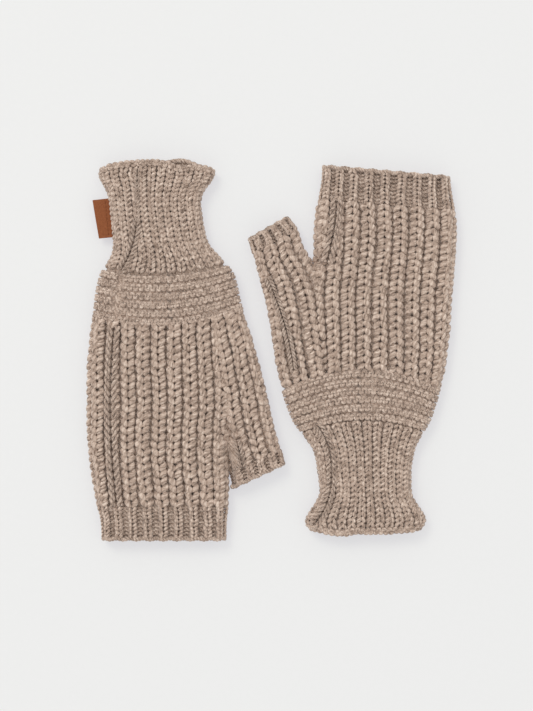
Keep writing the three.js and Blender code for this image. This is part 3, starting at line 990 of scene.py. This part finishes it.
class Tag:
    """The folded tag in the side of the left cuff, narrower at its lower end."""

    def __init__(self):
        low, high = (np.array(corner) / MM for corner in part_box("left_label"))
        self.outer = np.array([[low[0] + 0.6, high[1] - 1.2], [low[0] + 4.6, low[1] - 0.2]])
        self.inner = np.array([[high[0] - 0.4, high[1]], [high[0] + 1.4, low[1] + 0.6]])
        self.middle = (low[2] + high[2]) / 2

    def at(self, down, out):
        """The plan place this share of the way down the tag and out from the cuff."""
        start = self.inner[0] + (self.inner[1] - self.inner[0]) * down
        end = self.outer[0] + (self.outer[1] - self.outer[0]) * down
        return start + (end - start) * out


def tag_section():
    """The doubled leaf in section: share of the width out from the cuff, and height."""
    fold = np.linspace(-math.pi / 2, math.pi / 2, 9)
    bend = [(1 + LEAF_SHARE * (math.cos(a) - 1), LEAF * math.sin(a)) for a in fold]
    outside = [(0.0, -LEAF), *bend, (0.0, LEAF)]
    inside = [(0.0, SLIT), (1 - LEAF_SHARE, SLIT), (1 - LEAF_SHARE, -SLIT), (0.0, -SLIT)]
    return np.array(outside + inside)


def make_tag(tag, material):
    section = tag_section()
    count = len(section)
    rings = []
    for down in np.linspace(0, 1, TAG_RINGS):
        plan = tag.at(down, section[:, :1])
        curl = 0.5 * section[:, 0] * math.cos(3.4 * down - 1.4) - 0.25 * section[:, 0]
        rings.append(np.column_stack([plan, tag.middle + section[:, 1] + curl]))
    points = np.concatenate(rings) * MM
    faces = []
    for first in range(0, len(points) - count, count):
        for i in range(count):
            beside = (i + 1) % count
            faces.append([first + i, first + count + i, first + count + beside, first + beside])
    faces += [list(range(count)), list(range(len(points) - count, len(points)))[::-1]]
    data = bpy.data.meshes.new("left_label_tag")
    data.from_pydata(points.tolist(), [], faces)
    data.materials.append(material)
    piece = bpy.data.objects.new("left_label_tag", data)
    bpy.context.scene.collection.objects.link(piece)
    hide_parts("left_label")
    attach(piece, "left_tag")


def make_tag_thread(tag, material):
    """A row of short stitches beside the cuff."""
    spots = []
    for first in np.linspace(*STITCHED, STITCHES):
        for share in np.linspace(0, 1, STITCH_POINTS):
            place = tag.at(first + STITCHED[0] * share, STITCHED_AT)
            spots.append((*place, tag.middle + LEAF + 0.12 * math.sin(math.pi * share)))
    path = np.array(spots).reshape(STITCHES, STITCH_POINTS, 3)
    thread = Yarn(None)
    up = np.broadcast_to([0.0, 0.0, 1.0], path.shape)
    radius = np.full(path.shape[:2], 0.2)
    thread.sweep(path, up, radius, np.ones(radius.shape, bool), closed=False, flat=1.0)
    piece = thread.mesh("left_label_thread", material)
    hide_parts("left_label_stitches")
    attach(piece, "left_tag")


# ---------------------------------------------------------------- studio

PAGE_HEIGHT = 0.4408                          # metres of floor from the view's top to its bottom
PAGE_MIDDLE = (-0.0025, -0.0037)


def lamp(name, place, size, power):
    data = bpy.data.lights.new(name, "AREA")
    data.size, data.energy = size, power
    light = bpy.data.objects.new(name, data)
    light.location = place
    light.rotation_euler = (-Vector(place)).to_track_quat("-Z", "Y").to_euler()
    bpy.context.scene.collection.objects.link(light)


def make_studio():
    bpy.ops.mesh.primitive_plane_add(size=4.0, location=(0, 0, -0.0002))
    floor = bpy.context.active_object
    floor.name = "floor"
    # The floor glows a little bluish though it is no lamp: painted light that makes the gloves'
    # shadows on it half as dark, and lavender against its warmer diffuse colour.
    paper = grained("glowing_floor_paper", (0.345, 0.345, 0.287), (0.35, 0.35, 0.292), 0.95, 300.0, 0.00002)
    glow = paper.node_tree.nodes["Principled BSDF"]
    glow.inputs["Emission Color"].default_value = (0.50, 0.50, 0.55, 1)
    glow.inputs["Emission Strength"].default_value = 1.0
    floor.data.materials.append(paper)

    world = bpy.data.worlds.new("studio")
    bpy.context.scene.world = world
    world.use_nodes = True
    background = world.node_tree.nodes["Background"]
    background.inputs["Color"].default_value = (1.0, 1.0, 1.0, 1)
    background.inputs["Strength"].default_value = 0.80
    lamp("key", (-1.5, 2.0, 3.2), 1.6, 48)

    camera = bpy.data.cameras.new("camera")
    camera.lens = 85
    camera_object = bpy.data.objects.new("camera", camera)
    distance = PAGE_HEIGHT * camera.lens / camera.sensor_width + LOFT * MM
    camera_object.location = (*PAGE_MIDDLE, distance)
    bpy.context.scene.collection.objects.link(camera_object)
    bpy.context.scene.camera = camera_object
    bpy.context.scene.view_settings.view_transform = "Standard"


make_studio()
beige = wool("beige_wool", (0.18, 0.118, 0.084), (0.535, 0.40, 0.315), (0.90, 0.75, 0.63))
# The seams' yarn is a little darker than the glove's own: painted shade of the grooves the seams lie
# in.
shaded_seam_beige = wool("seam_wool_painted_shade", (0.18, 0.12, 0.087), (0.50, 0.373, 0.293), (0.85, 0.705, 0.59))
leather = grained("label_leather", (0.22, 0.065, 0.021), (0.295, 0.095, 0.032), 0.6, 1500.0, 0.0001)
thread = grained("label_thread", (0.19, 0.058, 0.02), (0.26, 0.085, 0.03), 0.8, 3000.0, 0.00005)
for side in ("left", "right"):
    make_glove(side, beige, shaded_seam_beige)
left_tag = Tag()
make_tag(left_tag, leather)
make_tag_thread(left_tag, thread)
